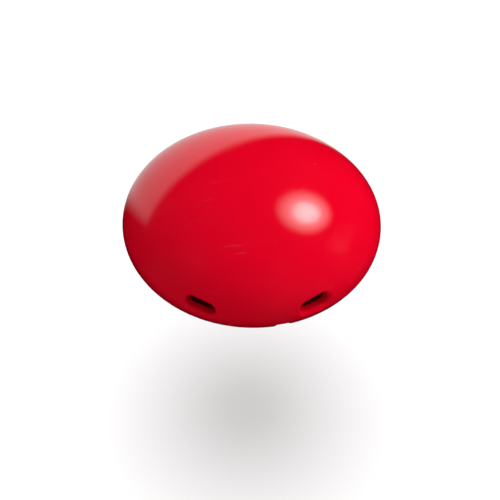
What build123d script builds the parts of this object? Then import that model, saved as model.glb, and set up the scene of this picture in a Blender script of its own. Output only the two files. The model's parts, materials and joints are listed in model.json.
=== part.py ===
"""Single-bell humming diabolo: a hollow red bell with sound openings that spins on a ball-bearing waist.

The spin axis is Z.  The origin is the middle of the string groove, where the string carries the toy.
The closed bell is above the groove and the short tip below it.  All sizes are in millimetres.
Heights along the bell are measured from its widest circle, and azimuths from -Y towards +X.
"""

from build123d import *
import math
import os

# ---- driving dimensions -------------------------------------------------------------------------
BELL_R = 60.0  # radius of the bell at its widest
BELL_C = 29.3  # height of the closed dome above the widest circle
BASE_DEPTH = 16.5  # from the widest circle down to the flat underside
WALL_RIM = 4.6  # wall at the widest circle, thick so that the mass sits far out
WALL_TOP = 3.3  # wall at the top of the dome
RIM_ROUNDING = 2.5
MOUTH_R = 43.0  # opening in the underside of the shell
SEAT_R = 46.0  # recess around the mouth that the base plate is bonded into
PLATE_T = 3.0  # thickness of the base plate
LEDGE_T = 2.0  # thickness of the ledge that the base plate rests on

GROUP_ANGLES = (0, 180)  # two opposite groups of openings, which keep the bell balanced
SLOT_W, SLOT_H = 13.0, 6.0  # low-note slots, width and height
SLOT_AZ, SLOT_Z, SLOT_TILT = 24.0, 2.6, 9.0  # a pair each side of the group's middle, inner ends lower
SLOT_LIP = 2.0  # flare of the outer edge
MID_PORT_W, MID_PORT_AZ, MID_PORT_Z, MID_PORT_LIP = 4.0, 11.0, -8.4, 1.0  # middle-note port
SCOOP_R, SCOOP_DEPTH, SCOOP_TILT = 5.1, 1.75, 54.0  # shallow flute that the middle-note port opens into
HIGH_PORT_W, HIGH_PORT_AZ, HIGH_PORT_Z, HIGH_PORT_LIP = 3.0, -11.0, -7.2, 1.2  # high-note port

CORE_R, CORE_T = 24.0, 2.2  # tube around the middle of the bell
UPSTAND_T, UPSTAND_H = 1.6, 2.5  # ring on the base plate that centres the core tube
FIN_T, FIN_GROOVE, FIN_GAP = 2.0, 0.8, 0.3  # fins between the sound chambers
GUIDE_RADII = (24.0, 32.0, 40.0)  # shallow rings in the underside, which guide the string to the waist
GUIDE_W, GUIDE_DEPTH = 1.2, 0.6
FIN_NAMES = {"front": 0, "right": 90, "back": 180, "left": 270}

BOLT_R = 3.0  # M6 axle bolt
BOLT_FREE = 0.05  # radial clearance of the parts threaded onto the bolt
BOLT_HEAD_H = 4.0
BOLT_CHAMFER = 0.6
NUT_ACROSS, NUT_H = 10.0, 4.2
NUT_CORNER_R = 5.9  # just outside the corners of the bolt's head and the nut
INSERT_R, INSERT_H = 4.6, 1.0  # nylon locking ring of the nut
BEARING_OR, BEARING_W = 7.5, 5.0  # 6 x 15 x 5 deep-groove bearings
BALL_R, BALL_PITCH_R, BALL_COUNT = 1.22, 5.25, 8
RACEWAY_R = 1.27  # groove radius in both races
INNER_LAND_R, OUTER_LAND_R = 4.55, 5.95
CAGE_T, CAGE_H = 0.8, 3.2
SHIELD_R, SHIELD_T, SHIELD_GAP = 6.6, 0.4, 0.2

GROOVE_R = 6.2  # waist radius at the bottom of the string groove
GROOVE_ARC = 14.0  # radius of the groove's hollow profile
FLANGE_R = 13.0  # both ends of the waist sleeve
FLANGE_CHAMFER = 0.6
SLEEVE_HALF = 14.7  # half the length of the waist sleeve
BEARING_RECESS = 0.2  # the sleeve stands just proud of both bearings
SLEEVE_BORE_R = 4.9
SHIM_R, SHIM_T = 4.4, 0.8
HUB_R, HUB_T, HUB_CHAMFER = 17.0, 2.5, 0.3
SPIGOT_R = 12.0  # boss of the hub that centres the base plate
CLAMP_T = 2.0
SCREW_PCR, SCREW_R, SCREW_COUNT, FIRST_SCREW = 14.5, 1.5, 4, 45
SCREW_HEAD_R, SCREW_HEAD_H = 2.2, 1.2
SCREW_FREE, PLATE_HOLE_FREE = 0.1, 0.2  # radial clearance in the hub and in the base plate
CROSS_L, CROSS_W, CROSS_DEPTH = 2.4, 0.6, 0.8  # cross recess of the screws
TIP_R, TIP_END_R, TIP_H, TIP_CHAMFER = 13.6, 9.0, 8.9, 0.8
TIP_BAND = 2.4  # straight part at the top of the tip
TIP_BORE_R, NUT_SEAT = 6.2, 3.2  # counterbore for the nut, and how far its floor is below the tip's top
FLUTE_R, FLUTE_COUNT, FLUTE_TILT, FLUTE_OUT = 1.5, 12, 20, 0.4  # grip flutes round the tip
PLUG_R, PLUG_END_R, PLUG_T, PLUG_RIM = 8.4, 7.2, 2.0, 1.2
SKIRT_H, SKIRT_T = 1.4, 0.25  # skirt of the plug, inside the tip

# ---- heights worked out from the driving dimensions ----------------------------------------------
UPPER_BEARING_Z = SLEEVE_HALF - BEARING_RECESS - BEARING_W / 2
LOWER_BEARING_Z = -UPPER_BEARING_Z
HUB_BOTTOM = SLEEVE_HALF - BEARING_RECESS + SHIM_T
BASE_Z = HUB_BOTTOM + HUB_T  # underside of the bell
BELL_Z = BASE_Z + BASE_DEPTH  # widest circle of the bell
PLATE_TOP = BASE_Z + PLATE_T
LEDGE_TOP = PLATE_TOP + LEDGE_T
CLAMP_TOP = PLATE_TOP + CLAMP_T
TIP_TOP = -HUB_BOTTOM
TIP_BOTTOM = TIP_TOP - TIP_H
PLUG_BOTTOM = TIP_BOTTOM - PLUG_T
NUT_TOP = TIP_TOP - NUT_SEAT
NUT_BOTTOM = NUT_TOP - NUT_H
BOLT_END = NUT_BOTTOM - INSERT_H
FREE_R = BOLT_R + BOLT_FREE
INNER_A, INNER_C = BELL_R - WALL_RIM, BELL_C - WALL_TOP  # the oval of the bell's inside


def spin(*points):
    """A solid of revolution about Z from the (radius, height) corners of its section."""
    face = make_face(Polyline(*[(r, 0, z) for r, z in points], close=True))
    return revolve(face, Axis.Z)


def tube(inner, outer, low, high):
    """A plain ring or disc about Z."""
    return spin((inner, low), (outer, low), (outer, high), (inner, high))


def around(shape, angle):
    return Rot(0, 0, angle) * shape


def ring_of(shape, count, first=0):
    return [around(shape, first + i * 360 / count) for i in range(count)]


def group_of(shapes):
    """Several separate solids as one piece."""
    return Compound(children=[solid for shape in shapes for solid in shape.solids()])


def save(shape, name):
    solids = shape.solids()
    export_step(solids[0] if len(solids) == 1 else group_of([shape]), f"parts/{name}.step")


# ---- the bell ------------------------------------------------------------------------------------
def oval_radius(a, c, height):
    return a * math.sqrt(1 - (height / c) ** 2)


def oval_height(a, c, radius):
    return c * math.sqrt(1 - (radius / a) ** 2)


def oval_curve(a, c, low_z, end_r=0.0):
    """The bell's oval section, from the height low_z up and in to the radius end_r, as a chain of arcs."""

    def point(angle):
        return (a * math.cos(angle), BELL_Z + c * math.sin(angle))

    cap_start = math.radians(76)
    first = math.asin((low_z - BELL_Z) / c)
    last = math.acos(end_r / a) if end_r else cap_start
    count = 9
    step = (last - first) / count
    arcs = []
    for i in range(count):
        start = first + i * step
        arcs.append(ThreePointArc(point(start), point(start + step / 2), point(start + step)))
    if not end_r:
        # a round cap, centred on the axis
        cap_r, cap_z = point(cap_start)
        drop = BELL_Z + c - cap_z
        ball_r = (cap_r**2 + drop**2) / (2 * drop)
        half = math.asin(cap_r / ball_r) / 2
        middle = (ball_r * math.sin(half), BELL_Z + c - ball_r * (1 - math.cos(half)))
        arcs.append(ThreePointArc((cap_r, cap_z), middle, (0, BELL_Z + c)))
    return Curve() + arcs


def opening_cutter(width, height, azimuth, level, lip, tilt=0):
    """A round-ended bar square to the bell's surface, flared where it meets the surface."""
    surface_r = oval_radius(BELL_R, BELL_C, level)
    rise = math.atan2(level / BELL_C**2, surface_r / BELL_R**2)
    outward = (0, -math.cos(rise), math.sin(rise))

    def outline(depth, growth):
        """The opening's outline at this depth below the surface, grown all round."""
        middle = (0, -surface_r - depth * outward[1], BELL_Z + level - depth * outward[2])
        if width > height:
            shape = SlotOverall(width + 2 * growth, height + 2 * growth, rotation=tilt)
        else:
            shape = Circle(width / 2 + growth)
        return Plane(middle, x_dir=(1, 0, 0), z_dir=outward) * shape

    bar = extrude(outline(4 * WALL_RIM, 0), 5 * WALL_RIM)
    inner_flare = loft([outline(1.1 * lip, 0), outline(0.35 * lip, 0.3 * lip)], ruled=True)
    outer_flare = loft([outline(0.35 * lip, 0.3 * lip), outline(-0.25 * lip, 1.3 * lip)], ruled=True)
    return around(bar + inner_flare + outer_flare, azimuth)


def scoop_cutter(azimuth):
    """A bar that leaves a shallow flute up the lower edge of the bell."""
    tilt = math.radians(SCOOP_TILT)
    reach = math.hypot(BELL_R * math.sin(tilt), BELL_C * math.cos(tilt)) - SCOOP_DEPTH + SCOOP_R
    middle = (0, -reach * math.sin(tilt), BELL_Z - reach * math.cos(tilt))
    along = (0, -math.cos(tilt), math.sin(tilt))
    bar = extrude(Plane(middle, z_dir=along) * Circle(SCOOP_R), BELL_R / 2, both=True)
    return around(bar, azimuth)


def make_bell_shell():
    outer = oval_curve(BELL_R, BELL_C, BASE_Z)
    inner = oval_curve(INNER_A, INNER_C, LEDGE_TOP)
    top = Line((0, BELL_Z + BELL_C), (0, BELL_Z + INNER_C))
    rim_r = oval_radius(BELL_R, BELL_C, BASE_DEPTH)
    seat = Polyline(
        (rim_r, BASE_Z),
        (SEAT_R, BASE_Z),
        (SEAT_R, PLATE_TOP),
        (MOUTH_R, PLATE_TOP),
        (MOUTH_R, LEDGE_TOP),
        (oval_radius(INNER_A, INNER_C, LEDGE_TOP - BELL_Z), LEDGE_TOP),
    )
    shell = revolve(Plane.XZ * make_face(outer + top + inner + seat), Axis.Z)
    rim = [e for e in shell.edges().filter_by(GeomType.CIRCLE) if abs(e.radius - rim_r) < 0.01]
    shell = fillet(rim, RIM_ROUNDING)

    for group in GROUP_ANGLES:
        for side in (-1, 1):
            slot_az, slot_tilt = group + side * SLOT_AZ, side * SLOT_TILT
            shell -= opening_cutter(SLOT_W, SLOT_H, slot_az, SLOT_Z, SLOT_LIP, slot_tilt)
        shell -= opening_cutter(HIGH_PORT_W, HIGH_PORT_W, group + HIGH_PORT_AZ, HIGH_PORT_Z, HIGH_PORT_LIP)
        shell -= scoop_cutter(group + MID_PORT_AZ)
        shell -= opening_cutter(MID_PORT_W, MID_PORT_W, group + MID_PORT_AZ, MID_PORT_Z, MID_PORT_LIP)
    return shell


def make_base_plate():
    plate = tube(SPIGOT_R, SEAT_R, BASE_Z, PLATE_TOP)
    for guide_r in GUIDE_RADII:
        plate -= tube(guide_r - GUIDE_W / 2, guide_r + GUIDE_W / 2, BASE_Z, BASE_Z + GUIDE_DEPTH)
    upstand_r = CORE_R - CORE_T
    plate += tube(upstand_r - UPSTAND_T, upstand_r, PLATE_TOP, PLATE_TOP + UPSTAND_H)
    hole = Pos(SCREW_PCR, 0, BASE_Z + PLATE_T / 2) * Cylinder(SCREW_R + PLATE_HOLE_FREE, 2 * PLATE_T)
    for cut in ring_of(hole, SCREW_COUNT, FIRST_SCREW):
        plate -= cut
    return plate


def make_chamber_fin(angle):
    """One upright fin between the core tube and the inside of the bell."""
    start_r = CORE_R - FIN_GROOVE
    inner_a, inner_c = INNER_A - FIN_GAP, INNER_C - FIN_GAP
    curve = oval_curve(inner_a, inner_c, LEDGE_TOP, start_r)
    foot = Polyline(
        (start_r, BELL_Z + oval_height(inner_a, inner_c, start_r)),
        (start_r, PLATE_TOP),
        (MOUTH_R - FIN_GAP, PLATE_TOP),
        (MOUTH_R - FIN_GAP, LEDGE_TOP),
        (oval_radius(inner_a, inner_c, LEDGE_TOP - BELL_Z), LEDGE_TOP),
    )
    return around(extrude(Plane.XZ * make_face(curve + foot), FIN_T / 2, both=True), angle - 90)


def make_core_tube():
    top_z = BELL_Z + oval_height(INNER_A - FIN_GAP, INNER_C - FIN_GAP, CORE_R)
    core = tube(CORE_R - CORE_T, CORE_R, PLATE_TOP, top_z)
    for angle in FIN_NAMES.values():
        core -= make_chamber_fin(angle)
    return core


# ---- the hub and the axle ------------------------------------------------------------------------
def hexagon(low, height, chamfer_h):
    """A hexagonal head or nut, chamfered round its top."""
    high = low + height
    bar = Pos(0, 0, low) * extrude(RegularPolygon(NUT_ACROSS / 2, 6, major_radius=False), height)
    rounding = spin(
        (0, low),
        (NUT_CORNER_R, low),
        (NUT_CORNER_R, high - chamfer_h),
        (NUT_ACROSS / 2, high),
        (0, high),
    )
    return bar & rounding


def screw_shape(free):
    """A countersunk screw pointing up from the hub's underside, with this radial clearance."""
    head_top = HUB_BOTTOM + SCREW_HEAD_H
    head = Pos(0, 0, HUB_BOTTOM + SCREW_HEAD_H / 2) * Cone(SCREW_HEAD_R + free, SCREW_R + free, SCREW_HEAD_H)
    length = CLAMP_TOP - head_top
    shank = Pos(0, 0, head_top + length / 2) * Cylinder(SCREW_R + free, length)
    return Pos(SCREW_PCR, 0, 0) * (head + shank)


def make_hub_flange():
    hub = spin(
        (FREE_R, HUB_BOTTOM),
        (HUB_R - HUB_CHAMFER, HUB_BOTTOM),
        (HUB_R, HUB_BOTTOM + HUB_CHAMFER),
        (HUB_R, BASE_Z),
        (SPIGOT_R, BASE_Z),
        (SPIGOT_R, PLATE_TOP),
        (FREE_R, PLATE_TOP),
    )
    for cut in ring_of(screw_shape(SCREW_FREE), SCREW_COUNT, FIRST_SCREW):
        hub -= cut
    return hub


def make_clamp_plate():
    plate = tube(FREE_R, HUB_R, PLATE_TOP, CLAMP_TOP)
    for cut in ring_of(screw_shape(0), SCREW_COUNT, FIRST_SCREW):
        plate -= cut
    return plate


def make_hub_screws():
    """Countersunk screws with a cross recess, threaded up into the clamp plate."""
    cross = Box(CROSS_L, CROSS_W, CROSS_DEPTH) + Box(CROSS_W, CROSS_L, CROSS_DEPTH)
    screw = screw_shape(0) - Pos(SCREW_PCR, 0, HUB_BOTTOM + CROSS_DEPTH / 2) * cross
    return group_of(ring_of(screw, SCREW_COUNT, FIRST_SCREW))


def make_axle_bolt():
    shank = spin(
        (0, BOLT_END),
        (BOLT_R - BOLT_CHAMFER, BOLT_END),
        (BOLT_R, BOLT_END + BOLT_CHAMFER),
        (BOLT_R, CLAMP_TOP),
        (0, CLAMP_TOP),
    )
    return hexagon(CLAMP_TOP, BOLT_HEAD_H, BOLT_CHAMFER) + shank


def make_shim(low):
    return tube(FREE_R, SHIM_R, low, low + SHIM_T)


def make_inner_spacer():
    half = UPPER_BEARING_Z - BEARING_W / 2
    return tube(FREE_R, SHIM_R - 0.1, -half, half)


# ---- the bearings --------------------------------------------------------------------------------
def raceway(z):
    """The ring-shaped space that the balls run in."""
    return Pos(0, 0, z) * Torus(BALL_PITCH_R, RACEWAY_R)


def make_inner_race(z):
    return tube(FREE_R, INNER_LAND_R, z - BEARING_W / 2, z + BEARING_W / 2) - raceway(z)


def make_outer_race(z):
    half = BEARING_W / 2
    ledge = half - SHIELD_T
    ring = spin(
        (OUTER_LAND_R, z - ledge),
        (SHIELD_R, z - ledge),
        (SHIELD_R, z - half),
        (BEARING_OR, z - half),
        (BEARING_OR, z + half),
        (SHIELD_R, z + half),
        (SHIELD_R, z + ledge),
        (OUTER_LAND_R, z + ledge),
    )
    return ring - raceway(z)


def make_balls(z):
    return group_of(ring_of(Pos(BALL_PITCH_R, 0, z) * Sphere(BALL_R), BALL_COUNT))


def make_cage(z):
    """A ring between the races with a round pocket for each ball."""
    ring = tube(BALL_PITCH_R - CAGE_T / 2, BALL_PITCH_R + CAGE_T / 2, z - CAGE_H / 2, z + CAGE_H / 2)
    pocket = Pos(BALL_PITCH_R, 0, z) * (Rot(0, 90, 0) * Cylinder(RACEWAY_R, 3 * CAGE_T))
    for cut in ring_of(pocket, BALL_COUNT):
        ring -= cut
    return ring


def make_shields(z):
    """The two thin shields that snap into the outer race and stop just short of the inner one."""
    middle = BEARING_W / 2 - SHIELD_T / 2
    levels = [z + side * middle for side in (-1, 1)]
    inner_r = INNER_LAND_R + SHIELD_GAP
    return group_of([tube(inner_r, SHIELD_R, level - SHIELD_T / 2, level + SHIELD_T / 2) for level in levels])


# ---- the waist and the tip -----------------------------------------------------------------------
def make_waist_sleeve():
    """A spool with a hollow string groove, bored for a bearing at each end."""
    arc_half = math.sqrt(GROOVE_ARC**2 - (GROOVE_ARC + GROOVE_R - FLANGE_R) ** 2)
    groove = ThreePointArc((FLANGE_R, -arc_half), (GROOVE_R, 0), (FLANGE_R, arc_half))
    pocket = UPPER_BEARING_Z - BEARING_W / 2
    rest = Polyline(
        (FLANGE_R, arc_half),
        (FLANGE_R, SLEEVE_HALF - FLANGE_CHAMFER),
        (FLANGE_R - FLANGE_CHAMFER, SLEEVE_HALF),
        (BEARING_OR, SLEEVE_HALF),
        (BEARING_OR, pocket),
        (SLEEVE_BORE_R, pocket),
        (SLEEVE_BORE_R, -pocket),
        (BEARING_OR, -pocket),
        (BEARING_OR, -SLEEVE_HALF),
        (FLANGE_R - FLANGE_CHAMFER, -SLEEVE_HALF),
        (FLANGE_R, -SLEEVE_HALF + FLANGE_CHAMFER),
        (FLANGE_R, -arc_half),
    )
    return revolve(Plane.XZ * make_face(groove + rest), Axis.Z)


def make_tip_cone():
    """A tapered grip that the string slides off, bored for the bolt and counterbored for the nut."""
    shoulder = TIP_TOP - TIP_BAND
    cone = spin(
        (FREE_R, TIP_TOP),
        (TIP_R - TIP_CHAMFER, TIP_TOP),
        (TIP_R, TIP_TOP - TIP_CHAMFER),
        (TIP_R, shoulder),
        (TIP_END_R, TIP_BOTTOM),
        (TIP_BORE_R, TIP_BOTTOM),
        (TIP_BORE_R, NUT_TOP),
        (FREE_R, NUT_TOP),
    )
    flute = Pos(TIP_R + FLUTE_OUT, 0, TIP_BOTTOM + 1) * (Rot(0, FLUTE_TILT, 0) * Cylinder(FLUTE_R, 2 * TIP_H))
    flute &= tube(0, 3 * TIP_R, TIP_BOTTOM - 1, shoulder - TIP_CHAMFER)
    for cut in ring_of(flute, FLUTE_COUNT):
        cone -= cut
    return cone


def make_lock_nut():
    return hexagon(NUT_BOTTOM, NUT_H, BOLT_CHAMFER) - tube(0, BOLT_R, NUT_BOTTOM - 1, NUT_TOP + 1)


def make_nut_insert():
    """The nylon locking ring at the end of the nut."""
    return tube(BOLT_R, INSERT_R, BOLT_END, NUT_BOTTOM)


def make_tip_plug():
    """A cap with a short skirt that snaps into the end of the tip."""
    skirt_top = TIP_BOTTOM + SKIRT_H
    return spin(
        (0, PLUG_BOTTOM),
        (PLUG_END_R, PLUG_BOTTOM),
        (PLUG_R, PLUG_BOTTOM + PLUG_RIM),
        (PLUG_R, TIP_BOTTOM),
        (TIP_BORE_R, TIP_BOTTOM),
        (TIP_BORE_R, skirt_top),
        (TIP_BORE_R - SKIRT_T, skirt_top),
        (TIP_BORE_R - SKIRT_T, TIP_BOTTOM),
        (0, TIP_BOTTOM),
    )


def main():
    os.makedirs("parts", exist_ok=True)
    save(make_bell_shell(), "bell_shell")
    save(make_base_plate(), "base_plate")
    save(make_core_tube(), "core_tube")
    for name, angle in FIN_NAMES.items():
        save(make_chamber_fin(angle), f"chamber_fin_{name}")
    save(make_hub_flange(), "hub_flange")
    save(make_clamp_plate(), "clamp_plate")
    save(make_hub_screws(), "hub_screws")
    save(make_axle_bolt(), "axle_bolt")
    save(make_shim(SLEEVE_HALF - BEARING_RECESS), "upper_shim")
    save(make_shim(TIP_TOP), "lower_shim")
    save(make_inner_spacer(), "inner_spacer")
    for name, z in (("upper", UPPER_BEARING_Z), ("lower", LOWER_BEARING_Z)):
        save(make_inner_race(z), f"{name}_inner_race")
        save(make_outer_race(z), f"{name}_outer_race")
        save(make_balls(z), f"{name}_balls")
        save(make_cage(z), f"{name}_ball_cage")
        save(make_shields(z), f"{name}_shields")
    save(make_waist_sleeve(), "waist_sleeve")
    save(make_tip_cone(), "tip_cone")
    save(make_lock_nut(), "lock_nut")
    save(make_nut_insert(), "nut_insert")
    save(make_tip_plug(), "tip_plug")


main()
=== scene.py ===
"""The looks of a single-bell humming diabolo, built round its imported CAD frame.  Metres throughout."""

import json
import math

import bmesh
import bpy
import numpy as np
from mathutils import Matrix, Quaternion, Vector


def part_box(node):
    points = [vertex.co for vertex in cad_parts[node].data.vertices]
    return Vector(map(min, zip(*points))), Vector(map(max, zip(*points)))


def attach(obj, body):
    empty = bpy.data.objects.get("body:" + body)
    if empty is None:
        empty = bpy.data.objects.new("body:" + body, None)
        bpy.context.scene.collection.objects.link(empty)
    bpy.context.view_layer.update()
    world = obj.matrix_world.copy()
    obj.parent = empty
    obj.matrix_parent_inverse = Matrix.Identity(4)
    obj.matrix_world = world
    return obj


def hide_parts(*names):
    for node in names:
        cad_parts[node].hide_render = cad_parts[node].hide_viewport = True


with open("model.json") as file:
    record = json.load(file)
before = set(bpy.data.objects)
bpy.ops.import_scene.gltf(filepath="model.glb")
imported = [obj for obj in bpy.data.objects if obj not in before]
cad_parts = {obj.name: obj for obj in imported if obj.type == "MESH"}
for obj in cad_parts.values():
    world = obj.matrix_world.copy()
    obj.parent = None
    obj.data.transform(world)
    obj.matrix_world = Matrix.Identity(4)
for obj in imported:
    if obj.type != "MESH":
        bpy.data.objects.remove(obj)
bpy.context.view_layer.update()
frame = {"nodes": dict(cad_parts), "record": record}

MM = 0.001
DOME_RISE = 29.3 * MM  # height of the dome above the bell's widest circle
shell_low, shell_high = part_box("bell_shell")
BELL_R = (shell_high.x - shell_low.x) / 2
BELL_CENTRE = Vector((0, 0, shell_high.z - DOME_RISE))


def direction(azimuth, elevation):
    """A unit vector at this azimuth from -Y towards +X, and this elevation, in degrees."""
    a, e = math.radians(azimuth), math.radians(elevation)
    return Vector((math.sin(a) * math.cos(e), -math.cos(a) * math.cos(e), math.sin(e)))


# ---- node helpers --------------------------------------------------------------------------------
class Nodes:
    """A short way to write a material's or the world's nodes."""

    def __init__(self, tree):
        self.tree = tree
        tree.nodes.clear()

    def add(self, kind, inputs=None, **settings):
        node = self.tree.nodes.new(kind)
        for name, value in settings.items():
            setattr(node, name, value)
        for key, value in (inputs or {}).items():
            self.put(node, key, value)
        return node

    def put(self, node, key, value):
        if isinstance(value, bpy.types.NodeSocket):
            self.tree.links.new(value, node.inputs[key])
        else:
            node.inputs[key].default_value = value

    def math(self, operation, first, second=0.0, third=0.0, clamp=False):
        inputs = {0: first, 1: second, 2: third}
        return self.add("ShaderNodeMath", inputs, operation=operation, use_clamp=clamp).outputs[0]

    def smooth(self, value, low, high, bottom=0.0, top=1.0):
        inputs = {"Value": value, "From Min": low, "From Max": high, "To Min": bottom, "To Max": top}
        return self.add("ShaderNodeMapRange", inputs, interpolation_type="SMOOTHSTEP").outputs[0]

    def noise(self, place, scale, detail=2.0, roughness=0.5, distortion=0.0):
        inputs = {"Vector": place, "Scale": scale, "Detail": detail}
        inputs.update({"Roughness": roughness, "Distortion": distortion})
        return self.add("ShaderNodeTexNoise", inputs).outputs[0]

    def stretched(self, place, scale, rotation=(0, 0, 0)):
        inputs = {"Vector": place, "Scale": scale, "Rotation": rotation}
        return self.add("ShaderNodeMapping", inputs).outputs[0]

    def blend(self, factor, first, second):
        node = self.add("ShaderNodeMix", data_type="RGBA")
        self.put(node, "Factor", factor)
        self.put(node, 6, first)
        self.put(node, 7, second)
        return node.outputs[2]

    def bump(self, height, distance, strength=1.0, under=None):
        inputs = {"Height": height, "Distance": distance, "Strength": strength}
        if under is not None:
            inputs["Normal"] = under
        return self.add("ShaderNodeBump", inputs).outputs[0]


def new_material(name):
    material = bpy.data.materials.new(name)
    material.use_nodes = True
    nodes = Nodes(material.node_tree)
    place = nodes.add("ShaderNodeTexCoord").outputs["Object"]
    return material, nodes, place


def finish_material(nodes, **inputs):
    """Joins up the shader.  Names are the shader's own sockets, with _ for a space."""
    sockets = {key.replace("_", " "): value for key, value in inputs.items()}
    shader = nodes.add("ShaderNodeBsdfPrincipled", sockets)
    output = nodes.add("ShaderNodeOutputMaterial")
    nodes.tree.links.new(shader.outputs[0], output.inputs[0])


def rgb(red, green, blue):
    return (red, green, blue, 1.0)


# ---- materials -----------------------------------------------------------------------------------
def scratches(nodes, place, scale, angles, threshold):
    """Thin straight marks, from noise drawn out along a few directions."""
    marks = None
    for turn in angles:
        lines = nodes.noise(nodes.stretched(place, (scale, scale * 22, scale * 9), turn), 1.0, 1.0)
        mark = nodes.smooth(lines, threshold, threshold + 0.03)
        marks = mark if marks is None else nodes.math("MAXIMUM", marks, mark)
    patches = nodes.smooth(nodes.noise(place, 30.0, 2.0), 0.45, 0.62)
    return nodes.math("MULTIPLY", marks, patches)


def glossy_red(name, colour, dust_amount):
    """Injection-moulded gloss plastic: faint mottling and flow, hairline scratches and specks of dust."""
    material, nodes, place = new_material(name)
    mottle = nodes.noise(place, 26.0, 3.0, 0.55)
    deep = rgb(colour[0] * 0.93, colour[1], colour[2] * 0.85)
    body = nodes.blend(mottle, deep, rgb(*colour))
    marks = scratches(nodes, place, 38.0, ((0.3, 0.2, 0.7), (1.1, 0.4, 2.1), (0.7, 1.3, 0.2)), 0.735)
    specks = nodes.add("ShaderNodeTexVoronoi", {"Vector": place, "Scale": 210.0, "Randomness": 1.0})
    chosen = nodes.smooth(nodes.noise(place, 170.0, 1.0), 0.66, 0.72)
    near = nodes.smooth(specks.outputs["Distance"], 0.10, 0.04)
    dust = nodes.math("MULTIPLY", nodes.math("MULTIPLY", near, chosen), dust_amount)
    body = nodes.blend(nodes.math("MULTIPLY", marks, 0.03), body, rgb(1.0, 0.55, 0.55))
    body = nodes.blend(dust, body, rgb(0.95, 0.45, 0.5))
    smudge = nodes.smooth(nodes.noise(place, 42.0, 4.0, 0.6), 0.35, 0.75, 0.085, 0.15)
    rough = nodes.math("ADD", smudge, nodes.math("MULTIPLY", marks, 0.08))
    rough = nodes.math("ADD", rough, nodes.math("MULTIPLY", dust, 0.3), clamp=True)
    orange_peel = nodes.bump(nodes.noise(place, 320.0, 2.0), 0.00002, 0.5)
    surface = nodes.bump(nodes.math("MULTIPLY_ADD", marks, -0.4, dust), 0.00002, 0.5, orange_peel)
    coat = {"Coat_Weight": 0.35, "Coat_Roughness": 0.03}
    finish_material(nodes, Base_Color=body, Roughness=rough, Normal=surface, IOR=1.5, **coat)
    return material


def moulded_plastic(name, colour, roughness, grain=420.0):
    """Plain moulded plastic with a fine spark-eroded grain and rubbed high spots."""
    material, nodes, place = new_material(name)
    fine = nodes.noise(place, grain, 3.0, 0.6)
    broad = nodes.noise(place, 45.0, 3.0)
    lighter = rgb(*[min(1.0, c * 1.25 + 0.01) for c in colour])
    body = nodes.blend(nodes.smooth(broad, 0.3, 0.75), rgb(*colour), lighter)
    rough = nodes.smooth(broad, 0.25, 0.8, roughness - 0.07, roughness + 0.08)
    surface = nodes.bump(fine, 0.00006, 0.6)
    finish_material(nodes, Base_Color=body, Roughness=rough, Normal=surface, IOR=1.49)
    return material


def turned_metal(name, colour, roughness, pitch=0.00012, depth=0.000012):
    """Lathe-turned metal: fine rings about the axis, with handling marks."""
    material, nodes, place = new_material(name)
    split = nodes.add("ShaderNodeSeparateXYZ", {0: place})
    x, y, z = split.outputs
    radius = nodes.math("SQRT", nodes.math("ADD", nodes.math("MULTIPLY", x, x), nodes.math("MULTIPLY", y, y)))
    along = nodes.add("ShaderNodeCombineXYZ", {"X": radius, "Y": z}).outputs[0]
    rings = nodes.noise(along, 1.0 / pitch, 2.0, 0.7)
    broad = nodes.noise(place, 120.0, 3.0)
    darker = rgb(*[c * 0.82 for c in colour])
    body = nodes.blend(nodes.smooth(rings, 0.3, 0.7), darker, rgb(*colour))
    marks = scratches(nodes, place, 95.0, ((0.2, 0.9, 0.4), (1.4, 0.1, 1.9)), 0.70)
    rough = nodes.smooth(broad, 0.3, 0.75, roughness - 0.05, roughness + 0.09)
    rough = nodes.math("ADD", rough, nodes.math("MULTIPLY", marks, 0.2), clamp=True)
    surface = nodes.bump(rings, depth, 0.8)
    surface = nodes.bump(marks, 0.00001, 0.5, surface)
    finish_material(nodes, Base_Color=body, Metallic=1.0, Roughness=rough, Normal=surface)
    return material


def plated_steel(name, colour, roughness):
    """Zinc-plated or ground steel: cloudy plating with a fine satin grain."""
    material, nodes, place = new_material(name)
    cloud = nodes.noise(place, 190.0, 4.0, 0.6, 0.6)
    grain = nodes.noise(nodes.stretched(place, (900.0, 900.0, 220.0)), 1.0, 2.0)
    warm = rgb(min(1.0, colour[0] * 1.06), colour[1], colour[2] * 0.9)
    body = nodes.blend(nodes.smooth(cloud, 0.35, 0.7), rgb(*colour), warm)
    rough = nodes.smooth(cloud, 0.25, 0.8, roughness - 0.06, roughness + 0.1)
    surface = nodes.bump(grain, 0.000015, 0.6)
    finish_material(nodes, Base_Color=body, Metallic=1.0, Roughness=rough, Normal=surface)
    return material


def polished_steel(name, colour, roughness):
    """Hardened and polished steel with a trace of oil and wear."""
    material, nodes, place = new_material(name)
    film = nodes.noise(place, 260.0, 3.0, 0.5, 0.4)
    body = nodes.blend(nodes.smooth(film, 0.4, 0.7), rgb(*colour), rgb(*[c * 0.88 for c in colour]))
    rough = nodes.smooth(film, 0.3, 0.75, roughness, roughness + 0.07)
    surface = nodes.bump(nodes.noise(place, 1500.0, 1.0), 0.000004, 0.4)
    finish_material(nodes, Base_Color=body, Metallic=1.0, Roughness=rough, Normal=surface)
    return material


def soft_rubber(name, colour):
    """Matt rubber with a fine grain and paler scuffs."""
    material, nodes, place = new_material(name)
    fine = nodes.noise(place, 700.0, 3.0, 0.65)
    scuff = nodes.smooth(nodes.noise(place, 130.0, 4.0, 0.6), 0.55, 0.75)
    body = nodes.blend(scuff, rgb(*colour), rgb(0.16, 0.155, 0.15))
    rough = nodes.smooth(scuff, 0.0, 1.0, 0.62, 0.85)
    surface = nodes.bump(fine, 0.00008, 0.7)
    finish_material(nodes, Base_Color=body, Roughness=rough, Normal=surface, IOR=1.5)
    return material


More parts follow.
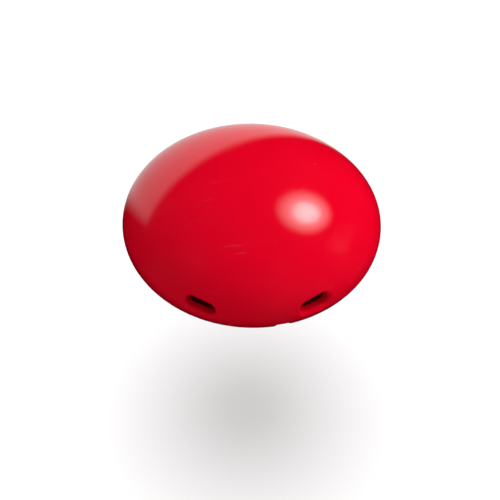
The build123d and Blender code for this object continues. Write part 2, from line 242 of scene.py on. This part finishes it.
RED = (0.84, 0.0, 0.018)
MATERIALS = {
    "bell_gloss": glossy_red("bell_gloss", RED, 0.6),
    "base_gloss": glossy_red("base_gloss", (0.74, 0.0, 0.016), 0.2),
    "inner_plastic": moulded_plastic("inner_plastic", (0.66, 0.64, 0.57), 0.5),
    "hub_aluminium": turned_metal("hub_aluminium", (0.80, 0.81, 0.83), 0.26),
    "clamp_steel": plated_steel("clamp_steel", (0.55, 0.55, 0.57), 0.4),
    "screw_steel": plated_steel("screw_steel", (0.70, 0.69, 0.66), 0.28),
    "bolt_steel": plated_steel("bolt_steel", (0.66, 0.65, 0.62), 0.32),
    "shim_steel": plated_steel("shim_steel", (0.62, 0.62, 0.64), 0.35),
    "spacer_aluminium": turned_metal("spacer_aluminium", (0.77, 0.78, 0.80), 0.32),
    "bearing_steel": polished_steel("bearing_steel", (0.66, 0.67, 0.69), 0.12),
    "shield_steel": turned_metal("shield_steel", (0.62, 0.62, 0.64), 0.3),
    "cage_nylon": moulded_plastic("cage_nylon", (0.80, 0.76, 0.62), 0.45),
    "ball_chrome": polished_steel("ball_chrome", (0.78, 0.79, 0.81), 0.05),
    "sleeve_aluminium": turned_metal("sleeve_aluminium", (0.83, 0.84, 0.86), 0.2, 0.00018, 0.00002),
    "tip_plastic": moulded_plastic("tip_plastic", (0.022, 0.022, 0.025), 0.42),
    "insert_nylon": moulded_plastic("insert_nylon", (0.06, 0.16, 0.45), 0.5),
    "plug_rubber": soft_rubber("plug_rubber", (0.028, 0.028, 0.03)),
}


def dress(node, material):
    mesh = frame["nodes"][node].data
    mesh.materials.clear()
    mesh.materials.append(material)


for part in frame["record"]["subparts"]:
    dress(part["node"], MATERIALS[part["material_slot"]])


# ---- the bell, with rounded edges to its openings ------------------------------------------------
WALL_RIM, WALL_TOP = 4.6 * MM, 3.3 * MM
INNER_R, INNER_RISE = BELL_R - WALL_RIM, DOME_RISE - WALL_TOP
BASE_DEPTH, RIM_ROUNDING = 16.5 * MM, 2.5 * MM
SEAT_R, MOUTH_R = 46 * MM, 43 * MM
SEAT_DEPTH, LEDGE_DEPTH = 13.5 * MM, 11.5 * MM  # down from the widest circle
# an opening is its width, height, azimuth, level above the widest circle, lip radius and tilt
SLOT = (13 * MM, 6 * MM, 24, 2.6 * MM, 2.2 * MM, 9)
HIGH_PORT = (3 * MM, 3 * MM, -11, -7.2 * MM, 1.3 * MM, 0)
MID_PORT = (4 * MM, 4 * MM, 11, -8.4 * MM, 1.1 * MM, 0)
SCOOP_R, SCOOP_DEPTH, SCOOP_TILT = 5.1 * MM, 1.75 * MM, 54
TURNS = 320  # sides of the lathed shell
INSIDE_STEPS, CORNER_STEPS, OUTSIDE_STEPS = 40, 8, 84
LIP_BEND, LIP_STEPS = 78, 10  # degrees that a lip curves through
CUT_DEPTH, CUT_CLEAR = 12 * MM, 3 * MM  # how far a cutter reaches into and out of the wall
OVAL_TOLERANCE = 2e-4  # how nearly a point has to fit an oval's equation
SHARP_ANGLE = 38


def oval(a, c, angle):
    return Vector((a * math.cos(angle), c * math.sin(angle)))


def oval_normal(a, c, angle):
    return Vector((math.cos(angle) / a, math.sin(angle) / c)).normalized()


def rim_start():
    """The angle on the oval where the rounding of the rim takes over, by halving."""
    low, high = math.asin(-BASE_DEPTH / DOME_RISE), 0.0
    for _ in range(40):
        middle = (low + high) / 2
        inside = oval(BELL_R, DOME_RISE, middle) - RIM_ROUNDING * oval_normal(BELL_R, DOME_RISE, middle)
        if inside.y < RIM_ROUNDING - BASE_DEPTH:
            low = middle
        else:
            high = middle
    return low


def bell_section():
    """The section of the shell as (radius, height) points, from the inside top round to the outside top."""
    ledge = math.asin(-LEDGE_DEPTH / INNER_RISE)
    top = math.pi / 2
    sweep = (ledge - top) / INSIDE_STEPS
    inside = [oval(INNER_R, INNER_RISE, top + sweep * i) for i in range(INSIDE_STEPS + 1)]
    seat = [(MOUTH_R, -LEDGE_DEPTH), (MOUTH_R, -SEAT_DEPTH), (SEAT_R, -SEAT_DEPTH), (SEAT_R, -BASE_DEPTH)]
    start = rim_start()
    normal = oval_normal(BELL_R, DOME_RISE, start)
    centre = oval(BELL_R, DOME_RISE, start) - RIM_ROUNDING * normal
    low, high = -math.pi / 2, math.atan2(normal.y, normal.x)
    corner = [low + (high - low) * i / CORNER_STEPS for i in range(CORNER_STEPS)]
    rim = [centre + RIM_ROUNDING * Vector((math.cos(a), math.sin(a))) for a in corner]
    sweep = (top - start) / OUTSIDE_STEPS
    outside = [oval(BELL_R, DOME_RISE, start + sweep * i) for i in range(OUTSIDE_STEPS + 1)]
    return [tuple(point) for point in inside + seat + rim + outside]


def lathe(section, name):
    """Turns a section, whose two ends are on the axis, into a closed mesh."""
    vertices = [(0, 0, section[0][1])]
    for radius, height in section[1:-1]:
        for i in range(TURNS):
            angle = 2 * math.pi * i / TURNS
            vertices.append((radius * math.cos(angle), radius * math.sin(angle), height))
    vertices.append((0, 0, section[-1][1]))
    last = len(vertices) - 1
    faces = [(0, 1 + (i + 1) % TURNS, 1 + i) for i in range(TURNS)]
    for row in range(len(section) - 3):
        low, high = 1 + row * TURNS, 1 + (row + 1) * TURNS
        for i in range(TURNS):
            j = (i + 1) % TURNS
            faces.append((low + i, low + j, high + j, high + i))
    top = last - TURNS
    faces += [(top + i, top + (i + 1) % TURNS, last) for i in range(TURNS)]
    return mesh_object(name, [Vector(v) + BELL_CENTRE for v in vertices], faces)


def mesh_object(name, vertices, faces):
    mesh = bpy.data.meshes.new(name)
    mesh.from_pydata([tuple(v) for v in vertices], [], faces)
    mesh.update()
    thing = bpy.data.objects.new(name, mesh)
    bpy.context.collection.objects.link(thing)
    return thing


def outline(width, height, grown, tilt, count=72):
    """A round-ended slot or a circle, grown all round, as points on a plane."""
    half, radius = (width - height) / 2, height / 2 + grown
    turn = math.radians(tilt)
    points = []
    for i in range(count):
        angle = 2 * math.pi * (i + 0.5) / count
        x = radius * math.cos(angle) + math.copysign(half, math.cos(angle))
        y = radius * math.sin(angle)
        points.append((x * math.cos(turn) - y * math.sin(turn), x * math.sin(turn) + y * math.cos(turn)))
    return points


def opening_rings(width, height, azimuth, level, lip, tilt):
    """The rings of a cutter whose outer end curves out to meet the bell's surface."""
    radius = BELL_R * math.sqrt(1 - (level / DOME_RISE) ** 2)
    rise = math.atan2(level / DOME_RISE**2, radius / BELL_R**2)
    outward = direction(azimuth, math.degrees(rise))
    across = direction(azimuth + 90, 0)
    upward = outward.cross(across)
    foot = direction(azimuth, 0) * radius + Vector((0, 0, level))
    scale = Vector((1 / BELL_R, 1 / BELL_R, 1 / DOME_RISE))

    def ring(grown, depth, follow=True):
        points = []
        for x, y in outline(width, height, grown, tilt):
            place = foot + across * x + upward * y
            if follow:
                start, step = place * scale, outward * scale
                a, b, c = step.dot(step), start.dot(step), start.dot(start) - 1
                place += outward * ((-b + math.sqrt(max(0.0, b * b - a * c))) / a)
            points.append(place - outward * depth)
        return points

    rings = [ring(0, CUT_DEPTH, False)]
    for step in range(LIP_STEPS):
        bend = math.radians(LIP_BEND) * step / (LIP_STEPS - 1)
        rings.append(ring(lip * (1 - math.cos(bend)), lip * (1 - math.sin(bend))))
    rings.append(ring(lip, -0.12 * lip))
    rings.append(ring(lip, -CUT_CLEAR, False))
    return rings


def bore_rings(azimuth):
    """The rings of the round bar that cuts the shallow scoop at a middle-note port."""
    tilt = math.radians(SCOOP_TILT)
    reach = math.hypot(BELL_R * math.sin(tilt), DOME_RISE * math.cos(tilt)) - SCOOP_DEPTH + SCOOP_R
    middle = direction(azimuth, 0) * (reach * math.sin(tilt)) - Vector((0, 0, reach * math.cos(tilt)))
    along = direction(azimuth, 0) * math.cos(tilt) + Vector((0, 0, math.sin(tilt)))
    across = direction(azimuth + 90, 0)
    upward = across.cross(along)
    rings = []
    for shift in (-BELL_R / 2, BELL_R / 2):
        spots = outline(2 * SCOOP_R, 2 * SCOOP_R, 0, 0, 96)
        rings.append([middle + along * shift + across * x + upward * y for x, y in spots])
    return rings


def cutter(name, sets):
    """One mesh of separate closed bars, each made of rings of points."""
    vertices, faces = [], []
    for rings in sets:
        first, count = len(vertices), len(rings[0])
        for ring in rings:
            vertices += [point + BELL_CENTRE for point in ring]
        for row in range(len(rings) - 1):
            for i in range(count):
                j = (i + 1) % count
                low, high = first + row * count, first + (row + 1) * count
                faces.append((low + i, low + j, high + j, high + i))
        faces.append(tuple(first + i for i in reversed(range(count))))
        faces.append(tuple(first + (len(rings) - 1) * count + i for i in range(count)))
    thing = mesh_object(name, vertices, faces)
    closed = bmesh.new()
    closed.from_mesh(thing.data)
    bmesh.ops.recalc_face_normals(closed, faces=closed.faces)
    closed.to_mesh(thing.data)
    closed.free()
    return thing


def mirrored_slot(side):
    width, height, azimuth, level, lip, tilt = SLOT
    return (width, height, side * azimuth, level, lip, side * tilt)


def turned(opening, angle):
    return opening[:2] + (opening[2] + angle,) + opening[3:]


def smooth_shell(mesh):
    """Shades the two ovals exactly, and rounds the shading of everything that bends gently."""
    mesh.polygons.foreach_set("use_smooth", [True] * len(mesh.polygons))
    mesh.set_sharp_from_angle(angle=math.radians(SHARP_ANGLE))
    corners = np.empty(len(mesh.loops) * 3)
    mesh.corner_normals.foreach_get("vector", corners)
    corners = corners.reshape(-1, 3)
    points = np.empty(len(mesh.vertices) * 3)
    mesh.vertices.foreach_get("co", points)
    owners = np.empty(len(mesh.loops), dtype=np.int32)
    mesh.loops.foreach_get("vertex_index", owners)
    places = points.reshape(-1, 3)[owners] - np.array(BELL_CENTRE)
    for a, c, sign in ((BELL_R, DOME_RISE, 1), (INNER_R, INNER_RISE, -1)):
        normals = places / np.array([a * a, a * a, c * c])
        off = np.abs(np.einsum("ij,ij->i", places, normals) - 1)
        normals *= sign / np.linalg.norm(normals, axis=1, keepdims=True)
        agree = np.einsum("ij,ij->i", normals, corners)
        chosen = (off < OVAL_TOLERANCE) & (agree > 0.85)
        corners[chosen] = normals[chosen]
    mesh.normals_split_custom_set(corners.tolist())


def make_bell_look():
    bell = lathe(bell_section(), "bell_look")
    flat = []
    for angle in (0, 180):
        flat += [opening_rings(*turned(mirrored_slot(side), angle)) for side in (-1, 1)]
        flat.append(opening_rings(*turned(HIGH_PORT, angle)))
    cuts = [cutter("cut_slots", flat)]
    cuts.append(cutter("cut_scoops", [bore_rings(MID_PORT[2] + angle) for angle in (0, 180)]))
    cuts.append(cutter("cut_ports", [opening_rings(*turned(MID_PORT, angle)) for angle in (0, 180)]))
    for cut in cuts:
        step = bell.modifiers.new(cut.name, "BOOLEAN")
        step.operation, step.solver, step.object = "DIFFERENCE", "EXACT", cut
    depsgraph = bpy.context.evaluated_depsgraph_get()
    result = bpy.data.meshes.new_from_object(bell.evaluated_get(depsgraph))
    bell.modifiers.clear()
    bell.data = result
    for cut in cuts:
        bpy.data.objects.remove(cut)
    smooth_shell(result)
    result.materials.clear()
    result.materials.append(MATERIALS["bell_gloss"])
    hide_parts("bell_shell")
    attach(bell, "bell")
    return bell


# ---- camera --------------------------------------------------------------------------------------
VIEW_AZIMUTH, VIEW_ELEVATION, VIEW_ROLL = -3.6, 45.0, 1.5
VIEW_DISTANCE = 5.43 * BELL_R
PITCH_BELOW_BELL, YAW_LEFT = 2.71, 0.08


def make_camera():
    data = bpy.data.cameras.new("camera")
    data.lens = 50.0
    data.sensor_width = 36.0
    data.clip_start, data.clip_end = 0.01, 50.0
    camera = bpy.data.objects.new("camera", data)
    bpy.context.collection.objects.link(camera)
    back = direction(VIEW_AZIMUTH, VIEW_ELEVATION)
    camera.location = BELL_CENTRE + back * VIEW_DISTANCE
    turn = (-back).to_track_quat("-Z", "Y")
    turn @= Quaternion((1, 0, 0), math.radians(-PITCH_BELOW_BELL))
    turn @= Quaternion((0, 1, 0), math.radians(YAW_LEFT))
    turn @= Quaternion((0, 0, 1), math.radians(VIEW_ROLL))
    camera.rotation_mode = "QUATERNION"
    camera.rotation_quaternion = turn
    bpy.context.scene.camera = camera


# ---- floor and studio ----------------------------------------------------------------------------
FLOOR_DROP = 0.178  # below the bell's widest circle
FLOOR_HALF = 6.0
STUDIO_GREY = 0.8  # the world's colour; the strength that the camera sees brings it back to white
FILL = 0.7  # strength of the even light on matt surfaces
# a place in the studio is its azimuth and elevation, then its inner angle, outer angle and level
WINDOW = (130, 55, 0, 16, 4.5)  # the soft window light, high behind on the right
WINDOW_MIDDLE = (130, 55, 0, 9, 8.0)
WALL = (-145, -20, 47, 54, 0.95)  # the pale wall, low behind on the left
WALL_END_AZIMUTH, WALL_END_SLANT = 145, 0.6  # the wall stops along a slanting soft edge
OVERHEAD_ANGLE, OVERHEAD_STRENGTH = 44, 2.2  # how wide the overhead light looks, in degrees
OBJECT_LIGHTS = (
    # name, azimuth, elevation, watts
    ("key", 128, 55, 2.2),
    ("side", 95, 35, 4.05),
)
METAL_LIGHTS = (
    # name, azimuth, elevation, width, height, watts
    ("metal_left", -70, 5, 0.5, 0.6, 5.0),
    ("metal_right", 75, 10, 0.3, 0.6, 5.0),
    ("metal_low", 10, -50, 0.5, 0.3, 3.0),
    ("metal_back", 180, 0, 0.4, 0.5, 4.0),
)
OBJECT_LIGHT_SIZE, OBJECT_LIGHT_DISTANCE, METAL_LIGHT_DISTANCE = 0.35, 0.9, 0.6
METAL_WORDS = ("aluminium", "steel", "chrome")  # each metal material's name holds one of these


def make_floor():
    """A plain pale studio floor, clear when seen from below."""
    z = BELL_CENTRE.z - FLOOR_DROP
    corners = [(x * FLOOR_HALF, y * FLOOR_HALF, z) for x, y in ((-1, -1), (1, -1), (1, 1), (-1, 1))]
    floor = mesh_object("floor", corners, [(0, 1, 2, 3)])
    material, nodes, _ = new_material("floor_pale")
    below = nodes.add("ShaderNodeNewGeometry").outputs["Backfacing"]
    pale = nodes.add("ShaderNodeBsdfDiffuse", {"Color": rgb(0.9, 0.9, 0.9)}).outputs[0]
    clear = nodes.add("ShaderNodeBsdfTransparent").outputs[0]
    surface = nodes.add("ShaderNodeMixShader", {0: below, 1: pale, 2: clear})
    nodes.add("ShaderNodeOutputMaterial", {0: surface.outputs[0]})
    floor.data.materials.append(material)
    floor.visible_glossy = False
    floor.visible_diffuse = False
    return floor


def make_overhead(receivers):
    """A soft light from straight above, for the shadow on the floor."""
    data = bpy.data.lights.new("overhead", "SUN")
    data.angle = math.radians(OVERHEAD_ANGLE)
    data.energy = OVERHEAD_STRENGTH
    light = bpy.data.objects.new("overhead", data)
    bpy.context.collection.objects.link(light)
    light.location = BELL_CENTRE + Vector((0, 0, 1))
    light.light_linking.receiver_collection = receivers


def make_softbox(name, azimuth, elevation, distance, size, watts, receivers, reflected=True):
    """A rectangular area light in that direction from the bell, facing it."""
    outward = direction(azimuth, elevation)
    data = bpy.data.lights.new(name, "AREA")
    data.shape = "RECTANGLE"
    data.size, data.size_y = size
    data.energy = watts
    light = bpy.data.objects.new(name, data)
    bpy.context.collection.objects.link(light)
    light.location = BELL_CENTRE + outward * distance
    light.rotation_mode = "QUATERNION"
    light.rotation_quaternion = (-outward).to_track_quat("-Z", "Y")
    light.visible_camera = False
    light.visible_glossy = reflected
    light.light_linking.receiver_collection = receivers


def collect(name, objects):
    """A collection of the objects that a light falls on."""
    group = bpy.data.collections.new(name)
    for member in objects:
        group.objects.link(member)
    return group


def towards(nodes, view, azimuth, elevation):
    """The cosine of the angle between the view and a direction."""
    inputs = {0: view, 1: direction(azimuth, elevation)}
    return nodes.add("ShaderNodeVectorMath", inputs, operation="DOT_PRODUCT").outputs["Value"]


def glow(nodes, view, azimuth, elevation, inner, outer, level):
    """A round patch of light in the studio, which fades between two angles from its middle, in degrees."""
    low, high = math.cos(math.radians(outer)), math.cos(math.radians(inner))
    return nodes.smooth(towards(nodes, view, azimuth, elevation), low, high, 0.0, level)


def make_world():
    """Even light for matt surfaces, and a dark room with a window and a pale wall for reflections."""
    world = bpy.data.worlds.new("studio")
    bpy.context.scene.world = world
    world.use_nodes = True
    nodes = Nodes(world.node_tree)
    view = nodes.add("ShaderNodeTexCoord").outputs["Generated"]
    height = nodes.add("ShaderNodeSeparateXYZ", {0: view}).outputs[2]
    wall = glow(nodes, view, *WALL)
    end = nodes.math("MULTIPLY_ADD", height, WALL_END_SLANT, towards(nodes, view, WALL_END_AZIMUTH, 0))
    wall = nodes.math("MULTIPLY", wall, nodes.smooth(end, -0.05, 0.2))
    window = nodes.math("ADD", glow(nodes, view, *WINDOW), glow(nodes, view, *WINDOW_MIDDLE))
    reflected = nodes.math("ADD", wall, window)
    path = nodes.add("ShaderNodeLightPath")
    glossy = path.outputs["Is Glossy Ray"]
    plain = nodes.math("MULTIPLY_ADD", path.outputs["Is Camera Ray"], 1.0 / STUDIO_GREY - FILL, FILL)
    plain = nodes.math("MULTIPLY", plain, nodes.math("SUBTRACT", 1.0, glossy))
    strength = nodes.math("MULTIPLY_ADD", reflected, glossy, plain)
    colour = rgb(STUDIO_GREY, STUDIO_GREY, STUDIO_GREY)
    white = nodes.add("ShaderNodeBackground", {"Color": colour, "Strength": strength})
    output = nodes.add("ShaderNodeOutputWorld")
    nodes.tree.links.new(white.outputs[0], output.inputs[0])


make_camera()
floor = make_floor()
make_world()
bell_look = make_bell_look()
lit_object = collect("lit_object", list(frame["nodes"].values()) + [bell_look])
metals = [
    frame["nodes"][part["node"]]
    for part in frame["record"]["subparts"]
    if any(word in part["material_slot"] for word in METAL_WORDS)
]
lit_metal = collect("lit_metal", metals)
for name, azimuth, elevation, watts in OBJECT_LIGHTS:
    size = (OBJECT_LIGHT_SIZE, OBJECT_LIGHT_SIZE)
    make_softbox(name, azimuth, elevation, OBJECT_LIGHT_DISTANCE, size, watts, lit_object, reflected=False)
make_overhead(collect("lit_floor", [floor]))
for name, azimuth, elevation, width, height, watts in METAL_LIGHTS:
    make_softbox(name, azimuth, elevation, METAL_LIGHT_DISTANCE, (width, height), watts, lit_metal)

bpy.context.scene.view_settings.view_transform = "Standard"
